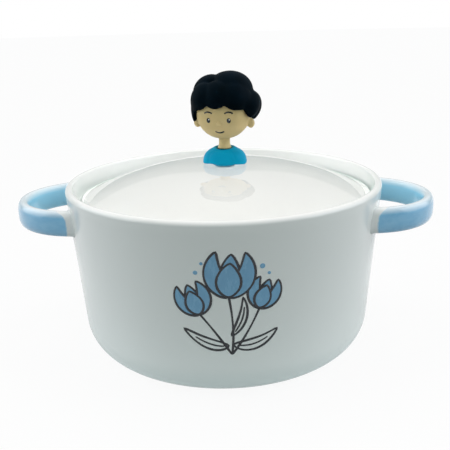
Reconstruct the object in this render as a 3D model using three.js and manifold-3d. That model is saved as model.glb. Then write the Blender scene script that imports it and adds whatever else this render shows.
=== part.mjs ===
// A lidded ceramic bowl with two ear handles. The domed glass lid drops into a seat inside the rim,
// and is lifted by a soft moulded doll bust that a screw clamps through the middle of the glass.
// Millimetres, +Z up. The origin is the middle of the foot on the table, the handles lie along X,
// and the front of the bowl and the doll face -Y.

import * as THREE from "three";
import { mergeVertices } from "three/addons/utils/BufferGeometryUtils.js";
import Module from "manifold-3d";

const wasm = await Module();
wasm.setup();

// Clearance between two pieces that touch on the real object
const FIT_GAP = 0.3;

// Bowl
const RIM_RADIUS = 87.5;
const BOWL_HEIGHT = 96.3;
const RIM_THICKNESS = 3.8;
const LIP_ROUNDING = 2.4;
const SEAT_DEPTH = 12;
const SEAT_DRAFT = 0.7;
const SEAT_WIDTH = 5;
const SEAT_FILLET = 1;
const WALL_THICKNESS = 7;
const CORNER_RADIUS = 22;
const INSIDE_CORNER = 22;
const FOOT_RADIUS = 59.3;
const FOOT_WIDTH = 5.5;
const FOOT_RECESS = 2.5;

// Ear handles
const HANDLE_REACH = 29.5;
const HANDLE_BEND = 34.5;
const HANDLE_HEIGHT = 13.8;
const HANDLE_THICKNESS = 6.5;
const HANDLE_DROP = 16;
const HANDLE_SQUARENESS = 2.6;
const ROOT_FLARE = 0.7;
const ROOT_FLARE_LENGTH = 5;

// Glass lid, which lies loose in its seat and rests a little to the right of its middle
const LID_CLEARANCE = 1.6;
const LID_REST_SHIFT = 1.2;
const LID_RISE = 15.5;
const DOME_FULLNESS = 2.6;
const LID_FLANGE = 4;
const LID_KNEE = 6;
const GLASS_THICKNESS = 4;
const GLASS_HOLE_RADIUS = 3.4;

// Clamp that holds the knob: screw, washer, two gaskets and a nut
const SCREW_RADIUS = 2;
const SCREW_HEAD_RADIUS = 4;
const SCREW_HEAD_HEIGHT = 2.4;
const SCREW_HEAD_ROUNDING = 1.4;
const SCREW_RECESS_WIDTH = 1;
const SCREW_RECESS_LENGTH = 4.2;
const SCREW_RECESS_DEPTH = 1.3;
const SCREW_TIP = 0.5;
const WASHER_RADIUS = 5;
const WASHER_THICKNESS = 0.8;
const UNDER_GASKET_RADIUS = 5.4;
const UNDER_GASKET_THICKNESS = 1.2;
const FOOT_GASKET_THICKNESS = 0.5;
const FOOT_GASKET_SLEEVE = 3;
const NUT_ACROSS_FLATS = 7;
const NUT_THICKNESS = 2.2;
const NUT_FLOOR = 1;

// Doll bust: a shirt that carries a head with its neck, and a cap of hair
const DOLL_YAW = -11;
const SHIRT_WIDTH = 24.4;
const SHIRT_DEPTH = 16.4;
const SHIRT_HEIGHT = 7.7;
const SHIRT_FOOT_RADIUS = 6.8;
const SHIRT_FOOT_HEIGHT = 1.7;
const SHIRT_FOOT_WALL = 1.2;
const SLEEVE_DROOP = 1.4;
const COLLAR_CLEARANCE = 0.8;
const COLLAR_WALL = 0.9;
const COLLAR_DEPTH = 1.2;
const CREASE_ANGLE = 34;
const CREASE_WIDTH = 9;
const CREASE_DEPTH = 0.3;
const NECK_RADIUS = 3.1;
const NECK_FLARE = 0.8;
const NECK_FLARE_HEIGHT = 2.2;
const NECK_LENGTH = 5.7;
const PEG_RADIUS = 2.5;
const PEG_LENGTH = 2;
const HEAD_WIDTH = 30;
const HEAD_DEPTH = 26.5;
const HEAD_HEIGHT = 32;
const HEAD_SQUARENESS = 2.5;
const JAW_TAPER = 0.13;
const EAR_RADII = [2.2, 1.8, 2.8];
const EAR_LEVEL = -7.5;
const NOSE_RADIUS = 1.2;
const NOSE_LEVEL = -6.5;
const HAIR_THICKNESS = 0.9;
const HAIR_EDGE_THICKNESS = 2;
const LOCK_GROOVE = 1.2;
const LOCK_NOTCH = 9;

// Fineness of the faceted surfaces
const ROUND_STEPS = 60;
const SMALL_ROUND_STEPS = 20;
const SECTION_STEPS = 16;
const HANDLE_STEPS = 24;
const DOME_STEPS = 5;
const SHIRT_STEPS = 48;
const HEAD_STEPS = 32;
const HEAD_RINGS = 13;
const BALL_STEPS = [12, 8];
const HAIR_STEPS = 60;
const HAIR_RINGS = 12;

// Heights worked out from the driving dimensions
const SEAT_Z = BOWL_HEIGHT - SEAT_DEPTH;
const RIM_INSIDE = RIM_RADIUS - RIM_THICKNESS;
const SEAT_WALL = RIM_INSIDE - SEAT_DRAFT;
const SEAT_INSIDE = SEAT_WALL - SEAT_WIDTH;
const LID_RADIUS = SEAT_WALL - LID_CLEARANCE;
const LID_EDGE_TOP = SEAT_Z + FIT_GAP + GLASS_THICKNESS;
const LID_TOP = LID_EDGE_TOP + LID_RISE;
const LID_UNDER = LID_TOP - GLASS_THICKNESS;
const SHIRT_FOOT_Z = LID_TOP + FIT_GAP;
const FOOT_GASKET_RADIUS = SHIRT_FOOT_RADIUS - SHIRT_FOOT_WALL - FIT_GAP;
const FOOT_RECESS_TOP = SHIRT_FOOT_Z + FOOT_GASKET_THICKNESS + FIT_GAP;
const SHIRT_Z = SHIRT_FOOT_Z + SHIRT_FOOT_HEIGHT;
const COLLAR_RADIUS = NECK_RADIUS + NECK_FLARE + COLLAR_CLEARANCE;
const COLLAR_Z = SHIRT_Z + SHIRT_HEIGHT - COLLAR_DEPTH;
const NECK_Z = COLLAR_Z + FIT_GAP;
const CHIN_Z = NECK_Z + NECK_LENGTH;
const HEAD_Z = CHIN_Z + HEAD_HEIGHT / 2;

const COLOURS = {
  porcelain: { color: 0xf2f3f1, roughness: 0.18, metalness: 0 },
  blueGlaze: { color: 0x8dbfdc, roughness: 0.2, metalness: 0 },
  glass: { color: 0xe4efec, roughness: 0.03, metalness: 0, transparent: true, opacity: 0.3 },
  silicone: { color: 0xbfd2cc, roughness: 0.5, metalness: 0, transparent: true, opacity: 0.8 },
  steel: { color: 0xb9bcc0, roughness: 0.3, metalness: 1 },
  shirt: { color: 0x1592b6, roughness: 0.55, metalness: 0 },
  skin: { color: 0xcdb98a, roughness: 0.6, metalness: 0 },
  hair: { color: 0x0c141c, roughness: 0.6, metalness: 0 },
};

// Points along a round stretch of an outline, about a centre at a radius and a height
function arc(radius, height, size, fromDegrees, toDegrees, steps) {
  const from = THREE.MathUtils.degToRad(fromDegrees);
  const to = THREE.MathUtils.degToRad(toDegrees);
  return new THREE.ArcCurve(radius, height, size, from, to, to < from).getPoints(steps);
}

const point = (radius, height) => new THREE.Vector2(radius, height);

// Solid of revolution about Z. The outline runs counter-clockwise, radius to the right and height up.
function revolve(outline, steps = ROUND_STEPS) {
  return new THREE.LatheGeometry(outline, steps).rotateX(Math.PI / 2);
}

// A ring shape: the outline comes back to its first point, clear of the axis
function revolveRing(outline, steps) {
  return revolve([...outline, outline[0]], steps);
}

// Superellipse: a circle at squareness 2, and a rounded rectangle above that
function superellipse(angle, halfWidth, halfDepth, squareness) {
  const bend = (value) => Math.sign(value) * Math.abs(value) ** (2 / squareness);
  return [halfWidth * bend(Math.cos(angle)), halfDepth * bend(Math.sin(angle))];
}

// Closed skin over a row of rings with equal counts of points, with a fan over each end
function loft(rings) {
  const count = rings[0].length;
  const middle = (ring) => {
    const sum = new THREE.Vector3();
    ring.forEach((p) => sum.add(p));
    return sum.divideScalar(count);
  };
  const last = rings.length - 1;
  const vertices = [...rings.flat(), middle(rings[0]), middle(rings[last])];
  const firstMiddle = rings.length * count;
  const indices = [];
  for (let j = 0; j < count; j++) {
    const k = (j + 1) % count;
    for (let i = 0; i < last; i++) {
      const [a, b, c, d] = [i * count + j, i * count + k, (i + 1) * count + k, (i + 1) * count + j];
      indices.push(a, b, c, a, c, d);
    }
    indices.push(firstMiddle, k, j);
    indices.push(firstMiddle + 1, last * count + j, last * count + k);
  }
  return new THREE.BufferGeometry().setFromPoints(vertices).setIndex(indices);
}

// Geometry to a solid that can be joined and cut
function solidOf(geometry) {
  const bare = new THREE.BufferGeometry();
  bare.setAttribute("position", geometry.getAttribute("position"));
  bare.setIndex(geometry.index);
  const merged = mergeVertices(bare, 1e-3);
  const corners = merged.index.array;
  const kept = [];
  for (let i = 0; i < corners.length; i += 3) {
    const [a, b, c] = corners.slice(i, i + 3);
    if (a !== b && b !== c && c !== a) kept.push(a, b, c);
  }
  const vertProperties = merged.attributes.position.array;
  const mesh = new wasm.Mesh({ numProp: 3, vertProperties, triVerts: new Uint32Array(kept) });
  return new wasm.Manifold(mesh);
}

function geometryOf(solid) {
  const mesh = solid.getMesh();
  const geometry = new THREE.BufferGeometry();
  geometry.setAttribute("position", new THREE.BufferAttribute(mesh.vertProperties, 3));
  geometry.setIndex(new THREE.BufferAttribute(mesh.triVerts, 1));
  return geometry;
}

const joined = (geometries) => geometries.map(solidOf).reduce((sum, next) => sum.add(next));

function piece(name, geometry, colours) {
  const mesh = new THREE.Mesh(geometry, new THREE.MeshStandardMaterial(colours));
  mesh.name = name;
  return mesh;
}

// Where a line from an outside point touches a circle, as an angle in degrees from the circle's centre
function tangentAngle(fromPoint, centre, radius) {
  const away = fromPoint.clone().sub(centre);
  const angle = Math.atan2(away.y, away.x) - Math.acos(radius / away.length());
  return THREE.MathUtils.radToDeg(angle);
}

// Bowl: outside from the foot, round the corner, up the tapered wall and over the lip
const CORNER_CENTRE = point(FOOT_RADIUS, CORNER_RADIUS);
const LIP_CENTRE = point(RIM_RADIUS - LIP_ROUNDING, BOWL_HEIGHT - LIP_ROUNDING);

function outsideOfBowl(growth) {
  const radius = CORNER_RADIUS + growth;
  const rim = point(RIM_RADIUS + growth, LIP_CENTRE.y);
  const wallStart = tangentAngle(rim, CORNER_CENTRE, radius);
  return [...arc(CORNER_CENTRE.x, CORNER_CENTRE.y, radius, -90, wallStart, 8), rim];
}

function bowlGeometry() {
  const insideLip = RIM_THICKNESS - LIP_ROUNDING;
  const insideRadius = FOOT_RADIUS + CORNER_RADIUS - WALL_THICKNESS - INSIDE_CORNER;
  const insideCentre = point(insideRadius, WALL_THICKNESS + INSIDE_CORNER);
  const seatEdge = point(SEAT_INSIDE, SEAT_Z - SEAT_FILLET);
  const insideStart = tangentAngle(seatEdge, insideCentre, INSIDE_CORNER);
  const outline = [
    point(0, FOOT_RECESS),
    point(FOOT_RADIUS - FOOT_WIDTH - FOOT_RECESS, FOOT_RECESS),
    point(FOOT_RADIUS - FOOT_WIDTH, 0),
    ...outsideOfBowl(0),
    ...arc(LIP_CENTRE.x, LIP_CENTRE.y, LIP_ROUNDING, 0, 90, 4).slice(1),
    ...arc(LIP_CENTRE.x, BOWL_HEIGHT - insideLip, insideLip, 90, 180, 3).slice(1),
    ...arc(SEAT_WALL - SEAT_FILLET, SEAT_Z + SEAT_FILLET, SEAT_FILLET, 0, -90, 3),
    ...arc(SEAT_INSIDE + SEAT_FILLET, seatEdge.y, SEAT_FILLET, 90, 180, 3),
    ...arc(insideCentre.x, insideCentre.y, INSIDE_CORNER, insideStart, -90, 6),
    point(0, WALL_THICKNESS),
  ];
  return revolve(outline);
}

// Share of the handle's steps that lie on its bend
const BEND_SHARE = 0.86;

// Ear handle on one side, -1 or +1 along X: a strap bent round an arc, flared where it is luted to the wall
function handleGeometry(side) {
  const wall = outsideOfBowl(FIT_GAP);
  const rim = wall[wall.length - 1];
  const wallCutter = [point(0, wall[0].y), ...wall, point(rim.x, BOWL_HEIGHT), point(0, BOWL_HEIGHT)];
  const middleZ = BOWL_HEIGHT - HANDLE_DROP;
  const bendX = RIM_RADIUS + HANDLE_REACH - HANDLE_THICKNESS / 2 - HANDLE_BEND;
  const rootDepth = RIM_RADIUS - Math.sqrt(RIM_RADIUS ** 2 - HANDLE_BEND ** 2) + WALL_THICKNESS;
  const rings = [];
  for (let i = 0; i <= HANDLE_STEPS; i++) {
    // The strap runs straight inside the wall at both ends, and round the bend between them.
    const share = 1 - (2 * i) / HANDLE_STEPS;
    const run = Math.max(0, Math.abs(share) - BEND_SHARE) / (1 - BEND_SHARE);
    const turn = (THREE.MathUtils.clamp(share, -BEND_SHARE, BEND_SHARE) / BEND_SHARE) * (Math.PI / 2);
    const outward = new THREE.Vector3(Math.cos(turn), Math.sin(turn), 0);
    const centre = outward.clone().multiplyScalar(HANDLE_BEND);
    centre.add(new THREE.Vector3(bendX - run * rootDepth, 0, middleZ));
    const fromWall = Math.hypot(centre.x, centre.y) - RIM_RADIUS;
    const flare = ROOT_FLARE * Math.max(0, 1 - Math.max(0, fromWall) / ROOT_FLARE_LENGTH) ** 2;
    const ring = [];
    for (let j = 0; j < SECTION_STEPS; j++) {
      const angle = (2 * Math.PI * j) / SECTION_STEPS;
      const halfWidth = HANDLE_THICKNESS / 2 + flare;
      const [across, up] = superellipse(angle, halfWidth, HANDLE_HEIGHT / 2, HANDLE_SQUARENESS);
      ring.push(centre.clone().addScaledVector(outward, across).setZ(middleZ + up));
    }
    rings.push(ring);
  }
  const strap = loft(rings);
  if (side < 0) strap.rotateZ(Math.PI);
  return geometryOf(solidOf(strap).subtract(solidOf(revolve(wallCutter))));
}

// Glass lid: a dome, flatter on top than over its shoulder, that runs through a knee into a flat
// flange with a rounded edge
const DOME_EDGE = LID_RADIUS - LID_FLANGE;
const SHOULDER_ANGLE = Math.atan((LID_RISE * DOME_FULLNESS) / DOME_EDGE);
const KNEE_REACH = LID_KNEE * Math.tan(SHOULDER_ANGLE / 2);

// Drop of the dome from its middle at a distance from the axis
const domeDrop = (distance) => LID_RISE * (distance / DOME_EDGE) ** DOME_FULLNESS;

// Point of the dome at a distance from the axis, at a depth in the glass
function domePoint(distance, depth) {
  const slope = (DOME_FULLNESS * domeDrop(distance)) / distance;
  return point(distance, LID_TOP - domeDrop(distance)).sub(point(slope, 1).setLength(depth));
}

function lidGeometry() {
  const kneeX = DOME_EDGE + KNEE_REACH;
  const kneeZ = LID_EDGE_TOP + LID_KNEE;
  const kneeStart = 270 - THREE.MathUtils.radToDeg(SHOULDER_ANGLE);
  const edgeRadius = GLASS_THICKNESS / 2;
  const domeEnd = DOME_EDGE - KNEE_REACH * Math.cos(SHOULDER_ANGLE);
  const distances = [];
  for (let i = 0; i <= DOME_STEPS; i++) {
    distances.push(THREE.MathUtils.lerp(GLASS_HOLE_RADIUS, domeEnd, i / DOME_STEPS));
  }
  const outline = [
    ...distances.map((distance) => domePoint(distance, GLASS_THICKNESS)),
    ...arc(kneeX, kneeZ, LID_KNEE + GLASS_THICKNESS, kneeStart, 270, 2).slice(1),
    ...arc(LID_RADIUS - edgeRadius, LID_EDGE_TOP - edgeRadius, edgeRadius, -90, 90, 4),
    ...arc(kneeX, kneeZ, LID_KNEE, 270, kneeStart, 2).slice(0, -1),
    ...distances.reverse().map((distance) => domePoint(distance, 0)),
  ];
  return revolveRing(outline);
}

// Clamp under and over the glass, from the screw head upwards
const UNDER_GASKET_TOP = LID_UNDER - domeDrop(UNDER_GASKET_RADIUS) - FIT_GAP;
const WASHER_TOP = UNDER_GASKET_TOP - UNDER_GASKET_THICKNESS - FIT_GAP;
const SCREW_HEAD_TOP = WASHER_TOP - WASHER_THICKNESS - FIT_GAP;
const NUT_POCKET_Z = FOOT_RECESS_TOP + NUT_FLOOR;
const NUT_Z = NUT_POCKET_Z + FIT_GAP;
const SCREW_END = NUT_Z + NUT_THICKNESS + SCREW_TIP;
const SCREW_PASS = SCREW_RADIUS + FIT_GAP;

function flatRing(inside, outside, bottom, top) {
  const outline = [point(inside, bottom), point(outside, bottom), point(outside, top), point(inside, top)];
  return revolveRing(outline, SMALL_ROUND_STEPS);
}

function footGasketGeometry() {
  const bottom = LID_TOP + FIT_GAP;
  const top = bottom + FOOT_GASKET_THICKNESS;
  const sleeve = GLASS_HOLE_RADIUS - FIT_GAP;
  const rounding = FOOT_GASKET_THICKNESS / 2;
  const outline = [
    point(SCREW_PASS, LID_TOP - FOOT_GASKET_SLEEVE),
    point(sleeve, LID_TOP - FOOT_GASKET_SLEEVE),
    point(sleeve, bottom),
    ...arc(FOOT_GASKET_RADIUS - rounding, bottom + rounding, rounding, -90, 90, 4),
    point(SCREW_PASS, top),
  ];
  return revolveRing(outline, SMALL_ROUND_STEPS);
}

function screwGeometry() {
  const bottom = SCREW_HEAD_TOP - SCREW_HEAD_HEIGHT;
  const rounding = SCREW_HEAD_ROUNDING;
  const outline = [
    point(0, bottom),
    ...arc(SCREW_HEAD_RADIUS - rounding, bottom + rounding, rounding, -90, 0, 4),
    point(SCREW_HEAD_RADIUS, SCREW_HEAD_TOP),
    point(SCREW_RADIUS, SCREW_HEAD_TOP),
    point(SCREW_RADIUS, SCREW_END - SCREW_TIP / 2),
    point(SCREW_RADIUS - SCREW_TIP / 2, SCREW_END),
    point(0, SCREW_END),
  ];
  const slot = new THREE.BoxGeometry(SCREW_RECESS_LENGTH, SCREW_RECESS_WIDTH, 2 * SCREW_RECESS_DEPTH);
  slot.translate(0, 0, bottom);
  const crossSlot = slot.clone().rotateZ(Math.PI / 2);
  return geometryOf(solidOf(revolve(outline, SMALL_ROUND_STEPS)).subtract(joined([slot, crossSlot])));
}

// Six-sided prism from a height upwards, by the distance across its flats
function hexPrism(acrossFlats, bottom, height, boreRadius) {
  const corner = acrossFlats / Math.sqrt(3);
  const outline = new THREE.Shape();
  for (let i = 0; i < 6; i++) {
    const angle = (Math.PI / 3) * i;
    const place = [corner * Math.cos(angle), corner * Math.sin(angle)];
    if (i === 0) outline.moveTo(...place);
    else outline.lineTo(...place);
  }
  if (boreRadius) outline.holes.push(new THREE.Path().absarc(0, 0, boreRadius, 0, 2 * Math.PI, true));
  const options = { depth: height, bevelEnabled: false, curveSegments: SMALL_ROUND_STEPS / 2 };
  return new THREE.ExtrudeGeometry(outline, options).translate(0, 0, bottom);
}

// Shirt: sections from the hem up to the collar. Their size runs from the collar at 0 to the full
// width and depth at 1. Each sleeve is creased where it meets the chest and the back, and hangs
// lower than the hem between them.
const SHIRT_SECTIONS = [
  { rise: 0, size: 0.91, squareness: 2.3 },
  { rise: 0.04, size: 0.98, squareness: 2.4 },
  { rise: 0.12, size: 1, squareness: 2.5 },
  { rise: 0.3, size: 0.95, squareness: 2.6 },
  { rise: 0.47, size: 0.87, squareness: 2.6 },
  { rise: 0.65, size: 0.7, squareness: 2.5 },
  { rise: 0.79, size: 0.48, squareness: 2.3 },
  { rise: 0.9, size: 0.22, squareness: 2.1 },
  { rise: 1, size: 0, squareness: 2 },
];

function shirtGeometry() {
  const collarOutside = COLLAR_RADIUS + COLLAR_WALL;
  const crease = (angle, size) => {
    const fromFront = Math.abs(THREE.MathUtils.radToDeg(Math.abs(angle)) - 90);
    const offset = (fromFront - CREASE_ANGLE) / (CREASE_WIDTH / 2);
    return CREASE_DEPTH * Math.exp(-offset * offset) * size;
  };
  const rings = SHIRT_SECTIONS.map(({ rise, size, squareness }) => {
    const halfWidth = THREE.MathUtils.lerp(collarOutside, SHIRT_WIDTH / 2, size);
    const halfDepth = THREE.MathUtils.lerp(collarOutside, SHIRT_DEPTH / 2, size);
    const ring = [];
    for (let j = 0; j < SHIRT_STEPS; j++) {
      const angle = (2 * Math.PI * j) / SHIRT_STEPS - Math.PI;
      const [x, y] = superellipse(angle, halfWidth, halfDepth, squareness);
      const inward = 1 - crease(angle, size) / Math.hypot(x, y);
      const droop = SLEEVE_DROOP * ((x / halfWidth) * (1 - rise)) ** 2;
      ring.push(new THREE.Vector3(x * inward, y * inward, SHIRT_Z + rise * SHIRT_HEIGHT - droop));
    }
    return ring;
  });
  const top = SHIRT_Z + SHIRT_HEIGHT;
  const neckSeat = flatDisc(COLLAR_RADIUS, COLLAR_Z, top + COLLAR_DEPTH);
  const socket = flatDisc(PEG_RADIUS + FIT_GAP, NECK_Z - PEG_LENGTH - FIT_GAP, top);
  const recess = flatDisc(FOOT_GASKET_RADIUS + FIT_GAP, LID_TOP, FOOT_RECESS_TOP);
  const pocketHeight = FIT_GAP + NUT_THICKNESS + FIT_GAP;
  const pocket = hexPrism(NUT_ACROSS_FLATS + 2 * FIT_GAP, NUT_POCKET_Z, pocketHeight);
  const relief = flatDisc(SCREW_PASS, LID_TOP, SCREW_END + FIT_GAP);
  const foot = flatDisc(SHIRT_FOOT_RADIUS, SHIRT_FOOT_Z, COLLAR_Z);
  const body = solidOf(loft(rings)).add(solidOf(foot));
  return geometryOf(body.subtract(joined([neckSeat, socket, recess, pocket, relief])));
}

function flatDisc(radius, bottom, top) {
  const outline = [point(0, bottom), point(radius, bottom), point(radius, top), point(0, top)];
  return revolve(outline, SMALL_ROUND_STEPS);
}

function ellipsoid(radii, centre) {
  const ball = new THREE.SphereGeometry(1, ...BALL_STEPS).rotateX(Math.PI / 2);
  return ball.scale(...radii).translate(...centre);
}

// Head: a soft rounded box that narrows to the jaw, with ears, a nose, a neck and a peg for the shirt
function skullGeometry(growth) {
  const rings = [];
  for (let i = 1; i < HEAD_RINGS; i++) {
    const latitude = Math.PI * (i / HEAD_RINGS - 0.5);
    const [share, up] = superellipse(latitude, 1, HEAD_HEIGHT / 2 + growth, HEAD_SQUARENESS);
    const low = Math.max(0, -up / HEAD_HEIGHT) * 2;
    const narrow = 1 - JAW_TAPER * low ** 2;
    const halfWidth = (HEAD_WIDTH / 2) * narrow + growth;
    const halfDepth = (HEAD_DEPTH / 2) * narrow + growth;
    const ring = [];
    for (let j = 0; j < HEAD_STEPS; j++) {
      const angle = (2 * Math.PI * j) / HEAD_STEPS;
      const [x, y] = superellipse(angle, halfWidth * share, halfDepth * share, HEAD_SQUARENESS);
      ring.push(new THREE.Vector3(x, y, HEAD_Z + up));
    }
    rings.push(ring);
  }
  return loft(rings);
}

function earGeometries(growth) {
  const radii = EAR_RADII.map((radius) => radius + growth);
  return [-1, 1].map((side) => ellipsoid(radii, [(side * HEAD_WIDTH) / 2, 0, HEAD_Z + EAR_LEVEL]));
}

function headGeometry() {
  const nose = ellipsoid([NOSE_RADIUS, NOSE_RADIUS, NOSE_RADIUS], [0, -HEAD_DEPTH / 2, HEAD_Z + NOSE_LEVEL]);
  const neck = revolve(
    [
      point(0, NECK_Z - PEG_LENGTH),
      point(PEG_RADIUS, NECK_Z - PEG_LENGTH),
      point(PEG_RADIUS, NECK_Z),
      point(NECK_RADIUS + NECK_FLARE, NECK_Z),
      point(NECK_RADIUS + NECK_FLARE, NECK_Z + NECK_FLARE),
      point(NECK_RADIUS, NECK_Z + NECK_FLARE_HEIGHT),
      point(NECK_RADIUS, CHIN_Z),
      point(0, HEAD_Z),
    ],
    SMALL_ROUND_STEPS,
  );
  return geometryOf(joined([skullGeometry(0), ...earGeometries(0), nose, neck]));
}

// Hair: one moulded cap. Its lower edge hangs in locks, each with the way it faces (0 is the front and
// 90 is +X) and how far down from the crown it reaches, both in degrees.
const LOCKS = [
  { facing: -72, reach: 114 },
  { facing: -42, reach: 89 },
  { facing: -6, reach: 85 },
  { facing: 36, reach: 88 },
  { facing: 72, reach: 105 },
  { facing: 108, reach: 113 },
  { facing: 144, reach: 124 },
  { facing: 180, reach: 130 },
  { facing: 216, reach: 124 },
  { facing: 252, reach: 117 },
];

// Full rounded swells over the cap: the way each faces, its tilt from the crown and its spread in
// degrees, and how far it stands out at its middle
const SWELLS = [
  { facing: 80, tilt: 26, spread: 40, height: 4.2 },
  { facing: -88, tilt: 38, spread: 30, height: 3.2 },
  { facing: -88, tilt: 92, spread: 36, height: 2.1 },
  { facing: 88, tilt: 88, spread: 32, height: 6 },
  { facing: -40, tilt: 68, spread: 34, height: 3.6 },
  { facing: -2, tilt: 58, spread: 32, height: 3.4 },
  { facing: 40, tilt: 64, spread: 36, height: 3.8 },
  { facing: 180, tilt: 58, spread: 46, height: 3.8 },
  { facing: 222, tilt: 92, spread: 42, height: 3.6 },
  { facing: 138, tilt: 92, spread: 42, height: 3.6 },
  { facing: 180, tilt: 112, spread: 34, height: 2.8 },
];

// Unit vector that faces a way round Z, tilted down from straight up
function lookAlong(facingDegrees, tiltDegrees) {
  const turn = THREE.MathUtils.degToRad(facingDegrees);
  const tilt = THREE.MathUtils.degToRad(tiltDegrees);
  return new THREE.Vector3(Math.sin(tilt) * Math.sin(turn), -Math.sin(tilt) * Math.cos(turn), Math.cos(tilt));
}

// Reach of the hair at a facing, and how deep in a groove between two locks it lies, from 0 to 1
function hairEdge(facing) {
  const next = LOCKS.findIndex((lock) => lock.facing > facing);
  const right = LOCKS[next] ?? { ...LOCKS[0], facing: LOCKS[0].facing + 360 };
  const left = LOCKS.at(next < 0 ? -1 : next - 1);
  const share = (facing - left.facing) / (right.facing - left.facing);
  const groove = (1 - Math.abs(2 * share - 1)) ** 2;
  const blend = THREE.MathUtils.smoothstep(share, 0, 1);
  return { reach: THREE.MathUtils.lerp(left.reach, right.reach, blend) - LOCK_NOTCH * groove, groove };
}

function swellAt(direction) {
  const heights = SWELLS.map(({ facing, tilt, spread, height }) => {
    const away = THREE.MathUtils.radToDeg(direction.angleTo(lookAlong(facing, tilt))) / spread;
    return height * Math.sqrt(Math.max(0, 1 - away ** 2));
  });
  return Math.max(...heights);
}

// Distance from the middle of the head to its skin along a direction
function skinDistance(direction) {
  const shares = direction.clone().divide(new THREE.Vector3(HEAD_WIDTH, HEAD_DEPTH, HEAD_HEIGHT));
  const powers = shares.toArray().map((share) => Math.abs(2 * share) ** HEAD_SQUARENESS);
  return powers.reduce((sum, power) => sum + power) ** (-1 / HEAD_SQUARENESS);
}

function hairGeometry() {
  const rings = [];
  for (let i = 0; i < HAIR_RINGS; i++) {
    // From the ends of the locks at 1 up to the crown at 0
    const down = 1 - i / HAIR_RINGS;
    const ring = [];
    for (let j = 0; j < HAIR_STEPS; j++) {
      const facing = LOCKS[0].facing + (360 * j) / HAIR_STEPS;
      const { reach, groove } = hairEdge(facing);
      const direction = lookAlong(facing, reach * down);
      const full = HAIR_THICKNESS + swellAt(direction) - LOCK_GROOVE * groove * down ** 4;
      const thickness = THREE.MathUtils.lerp(full, HAIR_EDGE_THICKNESS, down ** 8);
      const place = direction.clone().multiplyScalar(skinDistance(direction) + thickness);
      ring.push(place.setZ(place.z + HEAD_Z));
    }
    rings.push(ring);
  }
  const head = joined([skullGeometry(FIT_GAP), ...earGeometries(FIT_GAP)]);
  return geometryOf(solidOf(loft(rings)).subtract(head));
}

// Assembly
const vessel = new THREE.Group();
vessel.add(
  piece("bowl", bowlGeometry(), COLOURS.porcelain),
  piece("handle_left", handleGeometry(-1), COLOURS.blueGlaze),
  piece("handle_right", handleGeometry(1), COLOURS.blueGlaze),
);

const clamp = new THREE.Group();
const washerBottom = WASHER_TOP - WASHER_THICKNESS;
const underGasketBottom = UNDER_GASKET_TOP - UNDER_GASKET_THICKNESS;
clamp.add(
  piece("clamp_screw", screwGeometry(), COLOURS.steel),
  piece("clamp_washer", flatRing(SCREW_PASS, WASHER_RADIUS, washerBottom, WASHER_TOP), COLOURS.steel),
  piece(
    "under_gasket",
    flatRing(SCREW_PASS, UNDER_GASKET_RADIUS, underGasketBottom, UNDER_GASKET_TOP),
    COLOURS.silicone,
  ),
  piece("foot_gasket", footGasketGeometry(), COLOURS.silicone),
  piece("knob_nut", hexPrism(NUT_ACROSS_FLATS, NUT_Z, NUT_THICKNESS, SCREW_PASS), COLOURS.steel),
);

const doll = new THREE.Group();
doll.rotation.z = THREE.MathUtils.degToRad(DOLL_YAW);
doll.add(
  clamp,
  piece("knob_shirt", shirtGeometry(), COLOURS.shirt),
  piece("knob_head", headGeometry(), COLOURS.skin),
  piece("knob_hair", hairGeometry(), COLOURS.hair),
);

const lid = new THREE.Group();
lid.position.x = LID_REST_SHIFT;
lid.add(piece("lid_glass", lidGeometry(), COLOURS.glass), doll);

const lidded_bowl = new THREE.Group();
lidded_bowl.add(vessel, lid);

export default lidded_bowl;
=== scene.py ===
"""Looks of a lidded ceramic bowl: glazes, glass, a printed sprig and a soft doll knob, in a white studio.

Shapes are worked out in millimetres, +Z up, with the foot of the bowl on the floor at the origin, the
handles along X and the front facing -Y. They turn into metres when a mesh is made.
"""

import math

import bmesh
import bpy
import numpy as np
from mathutils import Matrix, Vector
from mathutils.bvhtree import BVHTree


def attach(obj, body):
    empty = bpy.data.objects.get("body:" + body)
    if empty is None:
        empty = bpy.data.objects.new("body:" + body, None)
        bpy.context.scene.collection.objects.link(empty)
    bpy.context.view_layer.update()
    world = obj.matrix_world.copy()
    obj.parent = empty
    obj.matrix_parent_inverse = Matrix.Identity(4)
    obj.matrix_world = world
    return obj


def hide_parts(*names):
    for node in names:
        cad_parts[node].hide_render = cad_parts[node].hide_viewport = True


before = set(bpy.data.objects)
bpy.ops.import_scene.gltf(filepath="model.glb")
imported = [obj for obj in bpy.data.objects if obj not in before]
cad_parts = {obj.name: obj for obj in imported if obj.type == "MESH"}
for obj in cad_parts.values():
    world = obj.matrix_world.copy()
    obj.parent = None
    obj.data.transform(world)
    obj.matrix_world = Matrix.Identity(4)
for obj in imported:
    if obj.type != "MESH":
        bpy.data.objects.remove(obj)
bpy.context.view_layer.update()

MM = 0.001

# Camera: its place, directions and lens
PICTURE_SIDE = 450
FOCAL_PIXELS = 700
SENSOR_WIDTH = 36
CAMERA_DISTANCE = 408.791
CAMERA_ELEVATION = 19.656
CAMERA_AIM_HEIGHT = 49
CAMERA_TILT = 17.106
CAMERA_PAN = 0.12
CAMERA_ROLL = -1.443
CAMERA_TURN = 2.82
PICTURE_SHIFT = -0.002
CAMERA_NEAR = 0.01

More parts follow.
